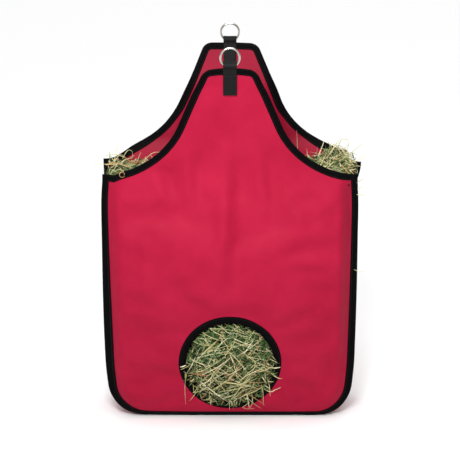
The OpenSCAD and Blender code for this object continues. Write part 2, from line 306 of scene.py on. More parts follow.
def grid_faces(rows, columns, closed_rows=False, closed_columns=False):
    """Quads of a grid of points that are numbered row by row."""
    i = np.arange(rows if closed_rows else rows - 1)[:, None]
    j = np.arange(columns if closed_columns else columns - 1)[None, :]
    i2, j2 = (i + 1) % rows, (j + 1) % columns
    corners = i * columns + j, i2 * columns + j, i2 * columns + j2, i * columns + j2
    return np.stack(np.broadcast_arrays(*corners), -1).reshape(-1, 4)


def baked(obj):
    """Applies the object's modifiers to its mesh."""
    depsgraph = bpy.context.evaluated_depsgraph_get()
    obj.data = bpy.data.meshes.new_from_object(obj.evaluated_get(depsgraph), preserve_all_data_layers=True,
                                               depsgraph=depsgraph)
    obj.modifiers.clear()
    return obj


def smooth_step(x, start, end):
    t = np.clip((np.asarray(x, float) - start) / (end - start), 0, 1)
    return t * t * (3 - 2 * t)


def curve_through(x, table):
    """A smooth curve through (x, value) pairs."""
    xs, ys = np.array(table, float).T
    slope = np.gradient(ys, xs)
    x = np.clip(x, xs[0], xs[-1])
    k = np.clip(np.searchsorted(xs, x, "right") - 1, 0, len(xs) - 2)
    step = xs[k + 1] - xs[k]
    t = (x - xs[k]) / step
    return ((2 * t**3 - 3 * t**2 + 1) * ys[k] + (t**3 - 2 * t**2 + t) * step * slope[k]
            + (3 * t**2 - 2 * t**3) * ys[k + 1] + (t**3 - t**2) * step * slope[k + 1])


def unit(v):
    return v / np.maximum(np.linalg.norm(v, axis=-1, keepdims=True), 1e-9)


def run_along(line):
    """Length from a line's start to each of its points."""
    return np.concatenate([[0], np.cumsum(np.linalg.norm(np.diff(line, axis=0), axis=1))])


def at_stations(at, along_line, values):
    """Each column of values, known at some stations, at other stations."""
    return np.stack([np.interp(at, along_line, values[:, k]) for k in range(values.shape[1])], -1)


def eased(path, times):
    """The path with its inner points moved towards their neighbours, as often as asked."""
    for _ in range(times):
        path[1:-1] = path[1:-1] * 0.5 + (path[2:] + path[:-2]) * 0.25
    return path


def pairs(first, second):
    """Every pair of a first and a second value as rows, for two arrays that broadcast."""
    return np.stack(np.broadcast_arrays(first, second), -1).reshape(-1, 2)


# ---- the flat pattern: x across and v up the cloth ----
def arc(cx, cv, r, a, b, count):
    t = np.radians(np.linspace(a, b, count + 1))
    return np.stack([cx + r * np.cos(t), cv + r * np.sin(t)], 1)


def along(a, b, count):
    return np.linspace(a, b, count + 1)[1:-1]


def half_edge(d, step):
    """The right half of the panel's edge moved in by d, from the bottom middle to the top middle.

    The count of points doesn't depend on d. Also returns how many of them lie below the shoulder.
    """
    corner = arc(HALF_W - CORNER_R, CORNER_R, CORNER_R - d, -90, 0, round(CORNER_R * 1.57 / step))
    start = 270 - math.degrees(math.asin(d / (SHOULDER_R + d)))
    shoulder = arc(HALF_W, SHOULDER_Z + SHOULDER_R, SHOULDER_R + d, start, 180 + math.degrees(FLARE),
                   round(SHOULDER_R * 1.19 / step))
    top = arc(TOP_CORNER_X, NECK_TOP_Z - NECK_CORNER_R, NECK_CORNER_R - d, math.degrees(FLARE), 90,
              max(5, round(NECK_CORNER_R * 1.2 / step)))
    counts = [round(n / step) for n in (HALF_W - CORNER_R, SHOULDER_Z - CORNER_R, 115, TOP_CORNER_X)]
    lower = np.concatenate([[[0, d]], along([0, d], corner[0], counts[0]), corner,
                            along(corner[-1], shoulder[0], counts[1]), shoulder[:1]])
    upper = np.concatenate([shoulder[1:], along(shoulder[-1], top[0], counts[2]), top,
                            along(top[-1], [0, NECK_TOP_Z - d], counts[3]), [[0, NECK_TOP_Z - d]]])
    return np.concatenate([lower, upper]), len(lower)


def panel_edge(d, step):
    """The whole edge, closed, anticlockwise from the bottom middle."""
    right, _ = half_edge(d, step)
    return np.concatenate([right, right[-2:0:-1] * [-1, 1]])


def gusset_edge(d, step):
    """The edge below the shoulders, from the left one round the bottom to the right one."""
    right, count = half_edge(d, step)
    right = right[:count]
    return np.concatenate([right[:0:-1] * [-1, 1], right])


# ---- the filled shape: where a point of the flat pattern goes ----
# By height on the flat cloth: how far the hay pushes it out, how far it lifts or drops, and its share of width.
BULGE = [(0, 0), (30, 1), (60, 3), (90, 7), (123, 12.5), (170, 19), (216, 23), (260, 24), (310, 22), (380, 15),
         (440, 8), (480, 2.5), (510, 0), (720, 0)]
RISE = [(0, 1), (12, -1.6), (30, -3), (60, -3.5), (123, -3), (216, -2.5), (330, -1), (430, -0.5), (496, 0),
        (720, 0)]
DRAW_IN = [(0, 0.953), (25, 0.958), (57, 0.97), (82, 0.981), (107, 0.99), (157, 0.997), (255, 1.002),
           (352, 1.002), (424, 1.002), (500, 1.0), (720, 1.0)]
# By distance in from the bottom edge: how far the cloth rolls under.
ROLL = [(0, 17), (12, 9.5), (30, 3.5), (45, 1.2), (60, 0), (900, 0)]
# Folds as (x0, v0, x1, v1, half width, depth).
FRONT_FOLDS = [
    (8, 560, -7, 262, 17, 7.0), (-72, 552, -66, 430, 12, 3.6), (62, 550, 74, 436, 13, 4.0),
    (30, 470, 22, 330, 14, 1.4), (-138, 512, -112, 446, 12, 3.4), (-34, 500, -44, 350, 16, 1.6),
    (104, 328, 196, 312, 10, 2.0), (-196, 440, -186, 200, 14, 1.6), (-170, 420, -150, 250, 18, 2.0),
    (120, 480, 150, 380, 16, 2.0), (-60, 236, -110, 330, 15, 2.2), (96, 200, 168, 256, 14, 1.8),
    (-104, 96, -180, 140, 12, 2.0), (108, 90, 184, 60, 12, 2.0), (-96, 60, -168, 32, 10, 1.6),
]
REAR_FOLDS = [
    (-16, 560, 4, 280, 14, 5.5), (70, 550, 60, 430, 13, 3.6), (-78, 550, -70, 440, 13, 3.6),
    (134, 505, 104, 440, 13, 3.4), (-90, 250, -150, 340, 15, 2.6), (60, 90, 150, 150, 14, 2.4),
    (-120, 90, -190, 60, 12, 2.0), (30, 220, 120, 260, 15, 2.2), (-30, 180, -110, 150, 15, 2.2),
    (196, 450, 204, 170, 14, 2.0),
]


def lumps(x, v, seed):
    """Soft unevenness where hay presses on the cloth, from a few seeded waves."""
    rng = np.random.default_rng(seed)
    total = 0
    for size in (150, 110, 80, 60, 45):
        angle, phase = rng.uniform(0, math.pi, 3), rng.uniform(0, 2 * math.pi, 3)
        for a, p in zip(angle, phase):
            total = total + size / 150 * np.sin(2 * math.pi * (x * math.cos(a) + v * math.sin(a)) / size + p)
    return total / 3.4


def edge_distance(x, v):
    """Distance in from the side and bottom edges, and the share by which that edge is the bottom."""
    across = np.abs(x)
    cx, cv = np.maximum(across - (HALF_W - CORNER_R), 0), np.maximum(CORNER_R - v, 0)
    inside = np.where((cx > 0) & (cv > 0), CORNER_R - np.hypot(cx, cv), np.minimum(HALF_W - across, v))
    turn = np.arctan2(cv, cx + 1e-6) / (math.pi / 2)
    low = np.where(v < CORNER_R, turn, 0)
    return inside, smooth_step(low, 0.0, 0.9)


def creases(x, v, front):
    """Soft folds, as offsets outwards. Each has a ridge on its upper left and a valley on its lower right."""
    total = 0
    for x0, v0, x1, v1, width, depth in FRONT_FOLDS if front else REAR_FOLDS:
        run = math.hypot(x1 - x0, v1 - v0)
        across = np.array([v1 - v0, x0 - x1]) / run
        if across @ [0.5, -1] < 0:
            across = -across
        t = ((x - x0) * (x1 - x0) + (v - v0) * (v1 - v0)) / run**2
        off = ((x - x0) * across[0] + (v - v0) * across[1]) / width
        total = total - depth * off * np.exp(0.5 - off**2 / 2) * np.exp(-1.5 * ((t - 0.5) / 0.45) ** 4)
    return total


def shell(flat, front):
    """Points of the filled bag's front or rear cloth, for points of its flat pattern."""
    x, v = np.asarray(flat, float)[..., 0], np.asarray(flat, float)[..., 1]
    inside, low = edge_distance(x, v)
    across = np.clip(np.abs(x) / HALF_W, 0, 1)
    free = smooth_step(inside, 12, 60) * (1 - smooth_step(v, 470, 520))
    out = curve_through(v, BULGE) * (1 - across**4) ** 0.75
    out = out + free * 1.9 * lumps(x, v, 3 if front else 4)
    out = out + smooth_step(inside, 10, 30) * (1 - smooth_step(v, 570, 640)) * creases(x, v, front)
    out = out - curve_through(np.maximum(inside, 0), ROLL) * low
    # The side seams lean back a little from the panel, and more so on the right of the front.
    lean_back = 17 * (1 - smooth_step(inside, 4, 38)) * (1 - low) * (1 - smooth_step(v, 440, 500))
    turned = 13 * smooth_step(x, HALF_W - 40, HALF_W - 12) * smooth_step(v, 60, 200)
    turned = turned * (1 - smooth_step(v, 450, 500))
    out = out - lean_back - (turned if front else 0)
    # Above the fold the neck leans out by a constant angle, after a soft bend.
    above, soft = v - FOLD_Z, 16
    raised = 0.5 * (above + np.sqrt(above**2 + soft**2)) - 0.5 * soft
    out = out - 1 + raised * math.sin(LEAN)
    z = v + curve_through(v, RISE) - raised * (1 - math.cos(LEAN))
    # The open edge of each shoulder curls: the front corners turn in, the rear ones spread and hang lower.
    corner = np.exp(-((HALF_W - np.abs(x)) / 34) ** 2 - ((v - SHOULDER_Z) / 38) ** 2)
    sag = (8.5 * smooth_step(-x, 175, 235) + 15 * smooth_step(x, 200, 242)) * smooth_step(v, 425, 492)
    pushed = smooth_step(np.abs(x), 60, 110) * (1 - smooth_step(np.abs(x), 190, 236))
    pushed = pushed * smooth_step(v, 462, 520) * (1 - smooth_step(v, 600, 690))
    wide_x = x * curve_through(v, DRAW_IN)
    if front:
        z = z - 4 * np.exp(-((x + 221) / 10) ** 2 - ((v - 490) / 22) ** 2)
        wide_x = wide_x - np.sign(x) * 4 * corner
        out = out - 2 * corner
        droop = smooth_step(v, NECK_TOP_Z - 60, NECK_TOP_Z) * (np.abs(x) / 45) ** 2
        out, z = out + 4 * droop, z - 3.5 * droop
    else:
        wide_x = wide_x + np.where(x > 0, 12, -3) * corner
        wide_x = wide_x + 4.5 * smooth_step(x, 0, 40) * smooth_step(v, 560, 640)
        z, out = z - sag + np.where(x > 0, 9, 6) * pushed, out + 24 * pushed
        droop = smooth_step(v, NECK_TOP_Z - 60, NECK_TOP_Z) * smooth_step(x, 5, 60)
        z = z - 2 * droop
    z = z + 2 * smooth_step(-x, 60, 220) * (1 - smooth_step(v, 0, 120))
    side = -1 if front else 1
    return np.stack([wide_x, side * (HALF_D + out), z], -1)


def outward(flat, front, d=1.0):
    """The cloth's outward direction at points of the flat pattern."""
    flat = np.asarray(flat, float)
    across = shell(flat + [d, 0], front) - shell(flat - [d, 0], front)
    up = shell(flat + [0, d], front) - shell(flat - [0, d], front)
    return unit(np.cross(across, up)) * (1 if front else -1)


# ---- cloth panels ----
CLOTH_STEP = 6.0


def inside_polygon(points, polygon):
    x, y = points[:, 0], points[:, 1]
    inside = np.zeros(len(points), bool)
    x1, y1 = polygon[-1]
    for x2, y2 in polygon:
        crosses = (y1 > y) != (y2 > y)
        if y1 != y2:
            inside ^= crosses & (x < (x2 - x1) * (y - y1) / (y2 - y1) + x1)
        x1, y1 = x2, y2
    return inside


def circle(r, count):
    t = np.linspace(0, 2 * math.pi, count, endpoint=False)
    return np.stack([r * np.cos(t), HOLE_Z + r * np.sin(t)], 1)


def flat_panel(front):
    """The flat cut of a panel as points and triangles, with the feed hole in the front one."""
    edge = panel_edge(SEAM_DEPTH, CLOTH_STEP)
    keep_in = panel_edge(SEAM_DEPTH + CLOTH_STEP * 0.6, CLOTH_STEP)
    row = CLOTH_STEP * math.sqrt(3) / 2
    grid = np.array([
        (i * CLOTH_STEP + (j % 2) * CLOTH_STEP / 2, j * row)
        for j in range(int(NECK_TOP_Z / row) + 1) for i in range(-42, 43)
    ])
    grid = grid[inside_polygon(grid, keep_in)]
    loops = [edge]
    if front:
        grid = grid[np.hypot(grid[:, 0], grid[:, 1] - HOLE_Z) > HOLE_R + SEAM_DEPTH + CLOTH_STEP * 0.6]
        loops.append(circle(HOLE_R + SEAM_DEPTH, 92))
    points, edges = list(grid), []
    for loop in loops:
        first = len(points)
        points.extend(loop)
        edges += [(first + k, first + (k + 1) % len(loop)) for k in range(len(loop))]
    made, _, faces, *_ = delaunay_2d_cdt([Vector(p) for p in points], edges, [], 0, 1e-4)
    flat, faces = np.array([tuple(p) for p in made]), np.array(faces)
    middle = flat[faces].mean(1)
    good = inside_polygon(middle, edge)
    if front:
        good &= np.hypot(middle[:, 0], middle[:, 1] - HOLE_Z) > HOLE_R
    return flat, faces[good]


def settle(obj, held, push, cap, frames=14):
    """Lets the cloth relax under the hay's push, with its seams held. No point moves further than cap."""
    rest = np.array([v.co for v in obj.data.vertices])
    group = obj.vertex_groups.new(name="seams")
    for weight in np.unique(held):
        if weight > 0:
            group.add(np.flatnonzero(held == weight).tolist(), float(weight), "REPLACE")
    cloth = obj.modifiers.new("Cloth", "CLOTH")
    cloth.settings.quality = 5
    cloth.settings.mass = 0.3
    cloth.settings.tension_stiffness = cloth.settings.compression_stiffness = 30
    cloth.settings.shear_stiffness = 15
    cloth.settings.bending_stiffness = 2.5
    cloth.settings.vertex_group_mass = "seams"
    cloth.settings.shrink_min = -0.012
    cloth.settings.use_pressure = True
    cloth.settings.uniform_pressure_force = push
    cloth.settings.effector_weights.gravity = 0
    cloth.collision_settings.use_collision = False
    cloth.collision_settings.use_self_collision = False
    cloth.point_cache.frame_start, cloth.point_cache.frame_end = 1, frames
    for k in range(1, frames + 1):
        bpy.context.scene.frame_set(k)
    depsgraph = bpy.context.evaluated_depsgraph_get()
    evaluated = obj.evaluated_get(depsgraph)
    settled = np.array([v.co for v in evaluated.data.vertices])
    obj.modifiers.remove(cloth)
    obj.vertex_groups.remove(group)
    bpy.context.scene.frame_set(1)
    moved = settled - rest
    far = np.linalg.norm(moved, axis=1, keepdims=True)
    moved *= np.minimum(1, cap * MM / np.maximum(far, 1e-9))
    edges = np.array([e.vertices[:] for e in obj.data.edges])
    for _ in range(2):  # each round evens out the solver's grain
        total, count = moved.copy(), np.ones((len(moved), 1))
        np.add.at(total, edges[:, 0], moved[edges[:, 1]])
        np.add.at(total, edges[:, 1], moved[edges[:, 0]])
        np.add.at(count, edges[:, 0], 1)
        np.add.at(count, edges[:, 1], 1)
        moved = total / count * (1 - held[:, None])
    obj.data.vertices.foreach_set("co", (rest + moved).astype(np.float32).ravel())
    obj.data.update()


def thicken(obj, thickness):
    """Gives the cloth its thickness, with the coated face inside; that face's darker crimson is partly painted
    shade.
    """
    # The inner faces take the coated back, whose extra darkness is painted shade.
    obj.data.materials.append(coated_back_painted_shade)
    solid = obj.modifiers.new("Solidify", "SOLIDIFY")
    solid.thickness, solid.offset, solid.material_offset = thickness * MM, 0, 1
    return baked(obj)


CLOTH_T = 0.9


def polygon_area(loop):
    x, y = loop.T
    return abs(np.dot(x, np.roll(y, -1)) - np.dot(y, np.roll(x, -1))) / 2


def make_panel(name, front):
    flat, faces = flat_panel(front)
    if not front:
        faces = faces[:, ::-1]
    panel = finish_mesh(name, mesh_of(name, shell(flat, front), faces, flat), oxford_cloth)
    inside, _ = edge_distance(flat[:, 0], flat[:, 1])
    held = 1 - smooth_step(inside, 14, 30)
    held = np.maximum(held, smooth_step(flat[:, 1], 440, 500))
    if front:
        from_hole = np.hypot(flat[:, 0], flat[:, 1] - HOLE_Z)
        held = np.maximum(held, 1 - smooth_step(from_hole, HOLE_R + 14, HOLE_R + 26))
    settle(panel, np.round(held, 2), 0.6, 6)
    return thicken(panel, CLOTH_T)


front_cloth = make_panel("front_cloth", True)
rear_cloth = make_panel("rear_cloth", False)

# ---- gusset ----
GUSSET_W, GUSSET_BULGE, GUSSET_SAG = 150, 9, 4
FLANGE = 12
GUSSET_STEP = 6
# Rows of the seam flange, as distances in from the edge, and their gaps under the panel's cloth.
FLANGE_ROWS = [(2.0, 1.25), (6.0, 1.3), (10.5, 1.4)]


def gusset_point(path, across):
    """Points of the gusset for flat seam points; across runs from the front seam (0) to the rear one (1)."""
    a, b = shell(path, True), shell(path, False)
    t = np.asarray(across, float)
    if t.ndim == 0:
        t = np.full(len(a), float(t))
    t = t[:, None]
    point = a * (1 - t) + b * t
    _, low = edge_distance(path[:, 0], path[:, 1])
    swell = np.sin(math.pi * t[:, 0]) ** 0.7
    lump = 1.6 * lumps(t[:, 0] * GUSSET_W + 300, path[:, 0] * 0.6 + path[:, 1], 8) * swell
    open_top = smooth_step(path[:, 1], 430, 496)
    out_x = np.sign(path[:, 0]) * (GUSSET_BULGE * swell + lump * (1 - open_top)) * (1 - low)
    point[:, 0] += out_x
    point[:, 2] -= GUSSET_SAG * swell * low
    point[:, 2] -= 5 * swell * open_top * smooth_step(path[:, 1], 470, 496)
    return point


def gusset_rows():
    """Seam flanges and wall of the gusset as rows of points that run along the seam."""
    rows, widths = [], []
    for d, gap in FLANGE_ROWS:
        path = gusset_edge(d, GUSSET_STEP)
        rows.append(shell(path, True) - outward(path, True) * gap)
        widths.append(d - FLANGE)
    path = gusset_edge(FLANGE, GUSSET_STEP)
    inner_front = shell(path, True) - outward(path, True) * 2.2
    inner_rear = shell(path, False) - outward(path, False) * 2.2
    count = 25
    base_a, base_b = shell(path, True), shell(path, False)
    for k in range(count + 1):
        t = k / count
        shift = (inner_front - base_a) * (1 - t) + (inner_rear - base_b) * t
        rows.append(gusset_point(path, t) + shift)
        widths.append(t * GUSSET_W)
    for d, gap in FLANGE_ROWS[::-1]:
        path = gusset_edge(d, GUSSET_STEP)
        rows.append(shell(path, False) - outward(path, False) * gap)
        widths.append(GUSSET_W + FLANGE - d)
    return np.array(rows), np.array(widths)


rows, widths = gusset_rows()
path = gusset_edge(FLANGE, GUSSET_STEP)
run = run_along(path)
gusset = finish_mesh("gusset_cloth", mesh_of(
    "gusset_cloth", rows.reshape(-1, 3), grid_faces(len(rows), len(path)),
    pairs(widths[:, None], run[None, :])), oxford_cloth)
# Held at both seams, at the open ends and round the bottom.
held = 1 - np.minimum(smooth_step(widths, 4, 22), 1 - smooth_step(widths, 128, 146))
held = np.broadcast_to(held[:, None], rows.shape[:2]).copy()
held = np.maximum(held, smooth_step(np.abs(run - run[-1] / 2), run[-1] / 2 - 30, run[-1] / 2 - 14)[None, :])
held = np.maximum(held, edge_distance(path[:, 0], path[:, 1])[1][None, :])
settle(gusset, np.round(held, 2).ravel(), 0.5, 5)
thicken(gusset, CLOTH_T)


# ---- tape ----
# The folded tape's section: (distance in from the seam edge, height over the middle of the cloth).
TAPE_FRONT = [(12.5, 0.45), (12.6, 1.1), (12.0, 1.35), (10.6, 1.25), (9.9, 0.95), (9.0, 1.3), (6.5, 1.75),
              (3.5, 1.95), (1.2, 1.75), (-0.2, 1.15), (-0.8, 0.0)]
STITCH_PITCH, STITCH_LENGTH = 4.2, 3.3
STITCH_ROW, STITCH_HEIGHT = 9.9, 1.05  # where the row lies on the tape's section


def tape(name, surface, away, back_heights, closed, scale_w=1.0):
    """Tape folded round an edge.

    surface(d) gives the line at a distance d in from the edge, away(d) its normals, and back_heights how far the
    back ply lies behind the front one's mirror place at each point of the line.
    """
    back = [(d, -h) for d, h in TAPE_FRONT[-2::-1]]
    lines, widths, total = [], [], 0.0
    previous = None
    for k, (d, h) in enumerate(TAPE_FRONT + back):
        d = d * scale_w
        base, up = surface(d), away(d)
        pucker = 0.12 * math.exp(-((d - STITCH_ROW) / 1.2) ** 2) * (1 if h > 0 else -1)
        ripple = np.cos(2 * math.pi * np.arange(len(base)) / 2) * pucker
        depth = np.where(h < 0, back_heights, 0)
        lines.append(base + up * (h + ripple - depth)[:, None])
        if previous is not None:
            total += math.dist((d, h), previous)
        previous = (d, h)
        widths.append(total)
    points = np.array(lines)
    count = points.shape[1]
    run = run_along(points[len(TAPE_FRONT) // 2])
    uv = pairs(run[None, :], np.array(widths)[:, None])
    faces = grid_faces(len(points), count, closed_rows=True, closed_columns=closed)
    if not closed:
        faces = list(map(list, faces)) + [[k * count for k in range(len(points))][::-1],
                                          [k * count + count - 1 for k in range(len(points))]]
    return finish_mesh(name, mesh_of(name, points.reshape(-1, 3), faces, uv), grosgrain)


def stitches(name, line, up, closed):
    """Separate stitches on top of a line of points, each a short arched bead of thread."""
    if closed:
        line, up = np.concatenate([line, line[:1]]), np.concatenate([up, up[:1]])
    run = run_along(line)
    count = int(run[-1] / STITCH_PITCH)
    centre = (np.arange(count) + 0.5) * run[-1] / count
    stations = np.array([-0.5, -0.4, 0.0, 0.4, 0.5])
    height = np.array([-0.25, 0.15, 0.42, 0.15, -0.25])
    radius = np.array([0.12, 0.34, 0.4, 0.34, 0.12])
    at = centre[:, None] + stations * STITCH_LENGTH
    place_on = at_stations(at, run, line)
    lift = unit(at_stations(at, run, up))
    way = unit(place_on[:, -1:] - place_on[:, :1])
    sideways = np.cross(way, lift)
    sides = 5
    turn = np.arange(sides) * 2 * math.pi / sides
    ring = (place_on + lift * height[:, None])[:, :, None] + radius[:, None, None] * (
        sideways[:, :, None] * np.cos(turn)[:, None] + lift[:, :, None] * np.sin(turn)[:, None])
    one = [list(f) for f in grid_faces(len(stations), sides, closed_columns=True)]
    one += [list(range(sides))[::-1], [len(stations) * sides - sides + k for k in range(sides)]]
    size = len(stations) * sides
    faces = [[k * size + i for i in f] for k in range(count) for f in one]
    return finish_mesh(name, mesh_of(name, ring.reshape(-1, 3), faces), thread)


def joined(name, parts):
    """One object from several, which keep nothing of their own."""
    with bpy.context.temp_override(
            active_object=parts[0], selected_editable_objects=parts, selected_objects=parts):
        bpy.ops.object.join()
    parts[0].name = parts[0].data.name = name
    return parts[0]


def stitched(name, row_name, surface, away, extra, closed):
    """A row of stitches on each face of a tape."""
    up = away(STITCH_ROW)
    back = (STITCH_HEIGHT + np.atleast_1d(extra))[:, None]
    return joined(name, [
        stitches(f"{row_name}_row_a", surface(STITCH_ROW) + up * STITCH_HEIGHT, up, closed),
        stitches(f"{row_name}_row_b", surface(STITCH_ROW) - up * back, -up, closed),
    ])


SEAM_STEP = STITCH_PITCH / 2
SEAM_EXTRA = 1.6  # the gusset's flange, under the back ply of the seam tape


def seam_tape(side_name, front):
    """The tape right round a panel and its neck, with a row of stitches on each of its faces."""
    path = panel_edge(0, SEAM_STEP)
    sewn_to_gusset = 1 - smooth_step(path[:, 1], SHOULDER_Z - 14, SHOULDER_Z - 2)
    extra = SEAM_EXTRA * sewn_to_gusset

    # Down the sides the seam is bulkier and its tape spreads wider, most of all at the front's lower left.
    spread = smooth_step(SHOULDER_Z - 20 - path[:, 1], 0, 330) * smooth_step(np.abs(path[:, 0]), 150, 225)
    spread = (spread * np.where(path[:, 0] < 0, 0.42, 0.2) * (1 if front else 0.4))[:, None]

    def flat_line(d):
        return panel_edge(d, SEAM_STEP) * (1 - spread) + panel_edge(2 * d if d > 0 else d, SEAM_STEP) * spread

    def surface(d):
        return shell(flat_line(d), front)

    def away(d):
        return outward(flat_line(max(d, 0.5)), front)

    band = tape(f"{side_name}_seam_tape", surface, away, extra, True)
    return band, stitched(f"{side_name}_seam_stitches", side_name, surface, away, extra, True)


front_tape, front_stitches = seam_tape("front", True)
rear_tape, rear_stitches = seam_tape("rear", False)


HOLE_POINTS = 288


def hole_surface(d):
    return shell(circle(HOLE_R + d, HOLE_POINTS), True)


def hole_away(d):
    return outward(circle(HOLE_R + d, HOLE_POINTS), True)


hole_tape = tape("feed_hole_tape", hole_surface, hole_away, 0, True, 1.04)
hole_stitches = stitched("feed_hole_stitches", "hole", hole_surface, hole_away, 0, True)


def mouth_tape(side_name, sign):
    """The tape over the gusset's top edge on one side."""
    across = np.linspace(0.008, 0.992, 72)
    flange_x = sign * (HALF_W - FLANGE)

    def surface(d):
        height = SHOULDER_Z - SEAM_DEPTH - d
        path = np.stack([np.full(len(across), flange_x), np.full(len(across), height)], 1)
        return gusset_point(path, across)

    def away(d):
        step = surface(d + 1) - surface(d - 1)
        line = np.gradient(surface(d), axis=0)
        found = unit(np.cross(line, step))
        return found * np.sign(found[:, :1]) * sign

    band = tape(f"{side_name}_mouth_tape", surface, away, 0, False)
    return band, stitched(f"{side_name}_mouth_stitches", side_name, surface, away, 0, False)


left_mouth, left_mouth_stitches = mouth_tape("left", -1)
right_mouth, right_mouth_stitches = mouth_tape("right", 1)


# ---- ring tabs: webbing looped through a ring and sewn down both faces of a neck ----
LOOP_R = 6.3
TUNNEL_R = 5.607  # the free round space that the CAD tab leaves for the ring's wire
LOOP_L = NECK_L + 1 + TUNNEL_R


def neck_frame(across, out, up, front):
    """Points from a neck's own axes: across it, out from it and up along its cloth from the fold line."""
    side = -1 if front else 1
    y = side * (FOLD_Y + up * math.sin(LEAN) + out * math.cos(LEAN))
    z = FOLD_Z + up * math.cos(LEAN) - out * math.sin(LEAN)
    return np.stack(np.broadcast_arrays(across, y, z), -1)


def ring_tab(side_name, front):
    """The webbing of one tab and its stitches."""
    turn = np.radians(np.linspace(-52, 232, 40))
    ply = 3.05  # from the middle of the neck's cloth to the middle of the webbing
    foot = NECK_L - PLY_L
    loop = np.stack([LOOP_R * np.cos(turn), LOOP_L + LOOP_R * np.sin(turn)], 1)
    up_line = np.stack([np.full(48, ply), np.linspace(foot, NECK_L - 1.5, 48)], 1)
    path = eased(np.concatenate([up_line, loop, up_line[::-1] * [-1, 1]]), 6)
    run = run_along(path)
    count = 150
    at = np.linspace(0, run[-1], count)
    path = at_stations(at, run, path)
    way = unit(np.gradient(path, axis=0))
    normal = np.stack([way[:, 1], -way[:, 0]], 1)
    # A flat section with rounded selvedges, and a shallow rib every 2 mm of its length.
    half = WEB_W / 2
    section = [(-half, 0), (-half + 0.25, 0.55), (-half + 1.2, 0.78)]
    section += [(x, 0.74) for x in np.linspace(-9, 9, 9)]
    section += [(half - 1.2, 0.78), (half - 0.25, 0.55), (half, 0)]
    section += [(x, -h) for x, h in section[-2:0:-1]]
    section = np.array(section)
    rib = 0.09 * np.cos(2 * math.pi * at / 2.0)[:, None] * np.sign(section[:, 1])[None, :]
    high = section[:, 1][None, :] + rib
    # The loop's top hollows a little where the round ring pulls on it, and still clears the ring as it swings.
    lifted = smooth_step(path[:, 1], LOOP_L - 2, LOOP_L + LOOP_R)
    hollow = 0.4 * lifted[:, None] * (1 - (section[:, 0] / half) ** 2)[None, :]
    out = path[:, 0][:, None] + normal[:, 0][:, None] * high
    up = path[:, 1][:, None] + normal[:, 1][:, None] * high - hollow
    across = np.broadcast_to(section[:, 0][None, :], out.shape)
    points = neck_frame(across, out, up, front)
    uv = np.stack([np.broadcast_to(at[:, None], out.shape), across], -1).reshape(-1, 2)
    faces = [list(f) for f in grid_faces(count, len(section), closed_columns=True)]
    ends = list(range(len(section)))
    faces += [ends[::-1], [(count - 1) * len(section) + k for k in ends]]
    if not front:
        faces = [f[::-1] for f in faces]
    tab = mesh_of(f"{side_name}_tab", points.reshape(-1, 3), faces, uv)
    tab = finish_mesh(f"{side_name}_ring_tab_webbing", tab, webbing)
    # Sewn round in a box, with one more row across below the loop.
    rows = []
    box_x, low, high_row, top_row = half - 2.5, foot + 2.8, NECK_L - 13.5, NECK_L - 1.0
    lines = [
        [(-box_x, low), (box_x, low)], [(-box_x, high_row), (box_x, high_row)],
        [(-box_x, low), (-box_x, top_row)], [(box_x, low), (box_x, top_row)],
        [(-box_x, top_row), (box_x, top_row)],
    ]
    for face in (1, -1):
        level = face * (ply + 0.66)
        for number, (start, end) in enumerate(lines):
            line = np.linspace(start, end, 12)
            place_on = neck_frame(line[:, 0], np.full(12, level), line[:, 1], front)
            lift = neck_frame(line[:, 0], np.full(12, level + face), line[:, 1], front) - place_on
            rows.append(stitches(f"{side_name}_tab_{face}_{number}", place_on, lift, False))
    return tab, joined(f"{side_name}_ring_tab_stitches", rows)


front_tab, front_tab_rows = ring_tab("front", True)
rear_tab, rear_tab_rows = ring_tab("rear", False)


# ---- hay ----
HOLE_HAY_R = 84
SQUEEZED_R = 93  # stalks that reach further out than this are turned along the tape
UPRIGHT = 0.98  # the hay's height in the hole, as a share of its width


def stalk_mesh(name, paths, widths, flatness, mat, taper=0.35):
    """Stalks along paths of shape (stalk, point, 3), each a four-sided blade or stem of its own width."""
    paths = np.asarray(paths, float)
    n, m, _ = paths.shape
    rng = np.random.default_rng(len(name) + n)
    way = unit(np.gradient(paths, axis=1))
    hint = unit(rng.normal(size=(n, 1, 3)))
    sideways = unit(np.cross(way, hint))
    lift = np.cross(way, sideways)
    station = np.linspace(0, 1, m)
    slim = (1 - (1 - taper) * station**3) * (0.75 + 0.25 * np.sin(math.pi * station))
    wide = np.asarray(widths)[:, None] / 2 * slim[None, :]
    thin = wide * np.broadcast_to(flatness, (n,))[:, None]
    corners = np.stack([paths + sideways * wide[..., None], paths + lift * thin[..., None],
                        paths - sideways * wide[..., None], paths - lift * thin[..., None]], 2)
    one = np.concatenate([grid_faces(m, 4, closed_columns=True),
                          [[3, 2, 1, 0], [4 * m - 4, 4 * m - 3, 4 * m - 2, 4 * m - 1]]])
    faces = (one[None] + (np.arange(n) * m * 4)[:, None, None]).reshape(-1, 4)
    return finish_mesh(name, mesh_of(name, corners.reshape(-1, 3), faces), mat, smooth=False)


def wavy(rng, middle, way, lengths, bend, points=7):
    """Paths through middle points, along directions, each with its own bend and a slight wave."""
    n = len(middle)
    t = np.linspace(-0.5, 0.5, points)[None, :, None]
    way = unit(way)
    curl = rng.normal(size=(n, 3))
    curl -= way * (curl * way).sum(1, keepdims=True)
    curl = unit(curl) * (bend * lengths * rng.uniform(0.2, 1.0, n))[:, None]
    turns, phase = rng.uniform(0.7, 1.5, n)[:, None, None], rng.uniform(0, 6, n)[:, None, None]
    wave = np.sin(2 * math.pi * t * turns + phase)
    straight = middle[:, None] + way[:, None] * t * lengths[:, None, None]
    return straight + curl[:, None] * (4 * t**2 - 0.5 + 0.25 * wave)


def through(points, count, rounds):
    """A smooth path through one stalk's points."""
    points = np.array(points, float)
    at = np.linspace(0, len(points) - 1, count)
    return eased(at_stations(at, range(len(points)), points), rounds)


